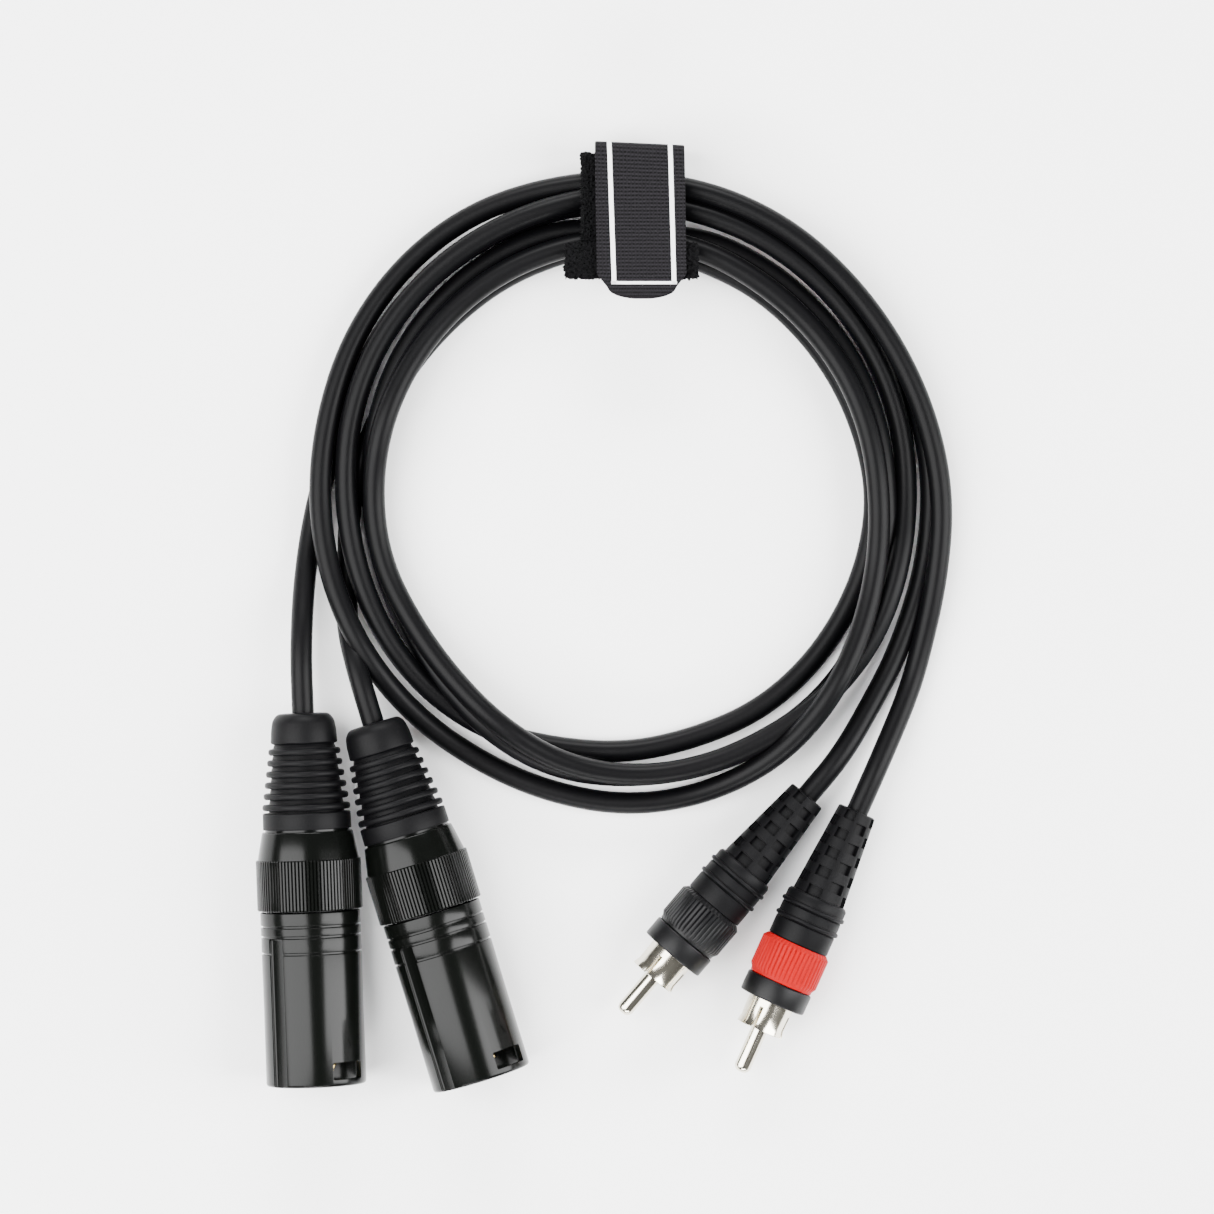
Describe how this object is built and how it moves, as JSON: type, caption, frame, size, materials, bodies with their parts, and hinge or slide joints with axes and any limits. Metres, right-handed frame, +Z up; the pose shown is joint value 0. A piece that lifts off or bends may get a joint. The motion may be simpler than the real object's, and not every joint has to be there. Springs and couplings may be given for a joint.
{
  "type": "xlr cable coil",
  "caption": "Coiled pair of round audio cables with three-pin XLR plugs and phono plugs, tied with a hook-and-loop strap.",
  "frame": {"origin": "centre of the coil, on the surface it lies on", "axes": "+Z up out of the surface, +Y from the plugs towards the strap, +X to the side of the phono plugs"},
  "size_m": [0.1323, 0.1798, 0.02],
  "materials": {
    "xlr_black_gloss": "gloss black coating",
    "boot_rubber": "matt black",
    "black_plastic": "matt",
    "white_plastic": "matt",
    "gold_contact": "plated",
    "nickel": "bright nickel",
    "spring_metal": "satin",
    "copper_core": "insulated wire",
    "dark_metal": "satin black",
    "red_ring": "satin red",
    "white_print": "printed line",
    "strap_fabric": "woven hook-and-loop",
    "cable_jacket": "matt jacket"
  },
  "bodies": {
    "cables": {"black_rca_cable_clamp": "spring_metal", "black_rca_cable_end": "cable_jacket", "black_rca_center_pin": "nickel", "black_rca_core_wire": "copper_core", "black_rca_flange": "dark_metal", "black_rca_insulator": "white_plastic", "black_rca_lead": "cable_jacket", "black_rca_shell": "nickel", "cable_coil": "cable_jacket", "left_xlr_barrel": "xlr_black_gloss", "left_xlr_cable_end": "cable_jacket", "left_xlr_core_wires": "copper_core", "left_xlr_ground_clip": "spring_metal", "left_xlr_insert": "black_plastic", "left_xlr_lead": "cable_jacket", "left_xlr_pin_1": "gold_contact", "left_xlr_pin_2": "gold_contact", "left_xlr_pin_3": "gold_contact", "red_rca_cable_clamp": "spring_metal", "red_rca_cable_end": "cable_jacket", "red_rca_center_pin": "nickel", "red_rca_core_wire": "copper_core", "red_rca_flange": "dark_metal", "red_rca_insulator": "white_plastic", "red_rca_lead": "cable_jacket", "red_rca_shell": "nickel", "right_xlr_barrel": "xlr_black_gloss", "right_xlr_cable_end": "cable_jacket", "right_xlr_core_wires": "copper_core", "right_xlr_ground_clip": "spring_metal", "right_xlr_insert": "black_plastic", "right_xlr_lead": "cable_jacket", "right_xlr_pin_1": "gold_contact", "right_xlr_pin_2": "gold_contact", "right_xlr_pin_3": "gold_contact", "strap_band": "strap_fabric", "strap_head": "strap_fabric", "strap_outer_turn": "strap_fabric"},
    "left_chuck": {"left_xlr_chuck": "black_plastic"},
    "left_nut": {"left_xlr_back_nut": "xlr_black_gloss", "left_xlr_boot": "boot_rubber"},
    "right_chuck": {"right_xlr_chuck": "black_plastic"},
    "right_nut": {"right_xlr_back_nut": "xlr_black_gloss", "right_xlr_boot": "boot_rubber"},
    "black_boot": {"black_rca_boot": "boot_rubber"},
    "black_ring": {"black_rca_ring": "dark_metal"},
    "red_boot": {"red_rca_boot": "boot_rubber"},
    "red_ring": {"red_rca_ring": "red_ring"},
    "flap": {"strap_flap": "strap_fabric", "strap_hook_patch": "strap_fabric", "strap_print": "white_print"}
  },
  "joints": [
    {"name": "left_nut_travel", "type": "slide", "parent": "cables", "child": "left_chuck", "axis": [-0.0366, 0.9993, 0], "range_m": [0, 0.002]},
    {"name": "left_nut_turn", "type": "hinge", "parent": "left_chuck", "child": "left_nut", "pos_m": [-0.06098, -0.07877, 0.01], "axis": [-0.0366, 0.9993, 0], "range_deg": [0, 720]},
    {"name": "right_nut_travel", "type": "slide", "parent": "cables", "child": "right_chuck", "axis": [-0.2924, 0.9563, 0], "range_m": [0, 0.002]},
    {"name": "right_nut_turn", "type": "hinge", "parent": "right_chuck", "child": "right_nut", "pos_m": [-0.03809, -0.07907, 0.01], "axis": [-0.2924, 0.9563, 0], "range_deg": [0, 720]},
    {"name": "black_ring_travel", "type": "slide", "parent": "cables", "child": "black_boot", "axis": [0.6494, 0.7604, 0], "range_m": [0, 0.002]},
    {"name": "black_ring_turn", "type": "hinge", "parent": "black_boot", "child": "black_ring", "pos_m": [0.0108, -0.08399, 0.00675], "axis": [0.6494, 0.7604, 0], "range_deg": [0, 720]},
    {"name": "red_ring_travel", "type": "slide", "parent": "cables", "child": "red_boot", "axis": [0.4099, 0.9121, 0], "range_m": [0, 0.002]},
    {"name": "red_ring_turn", "type": "hinge", "parent": "red_boot", "child": "red_ring", "pos_m": [0.02871, -0.09231, 0.00675], "axis": [0.4099, 0.9121, 0], "range_deg": [0, 720]},
    {"name": "flap_peel", "type": "hinge", "parent": "cables", "child": "flap", "pos_m": [0.0016, 0.0636, 0.0142], "axis": [-1, 0, 0], "range_deg": [0, 120]}
  ],
  "couplings": [
    {"joint": "left_nut_turn", "follows": "left_nut_travel", "rad_per_m": 6283.2},
    {"joint": "right_nut_turn", "follows": "right_nut_travel", "rad_per_m": 6283.2},
    {"joint": "black_ring_turn", "follows": "black_ring_travel", "rad_per_m": 6283.2},
    {"joint": "red_ring_turn", "follows": "red_ring_travel", "rad_per_m": 6283.2}
  ]
}
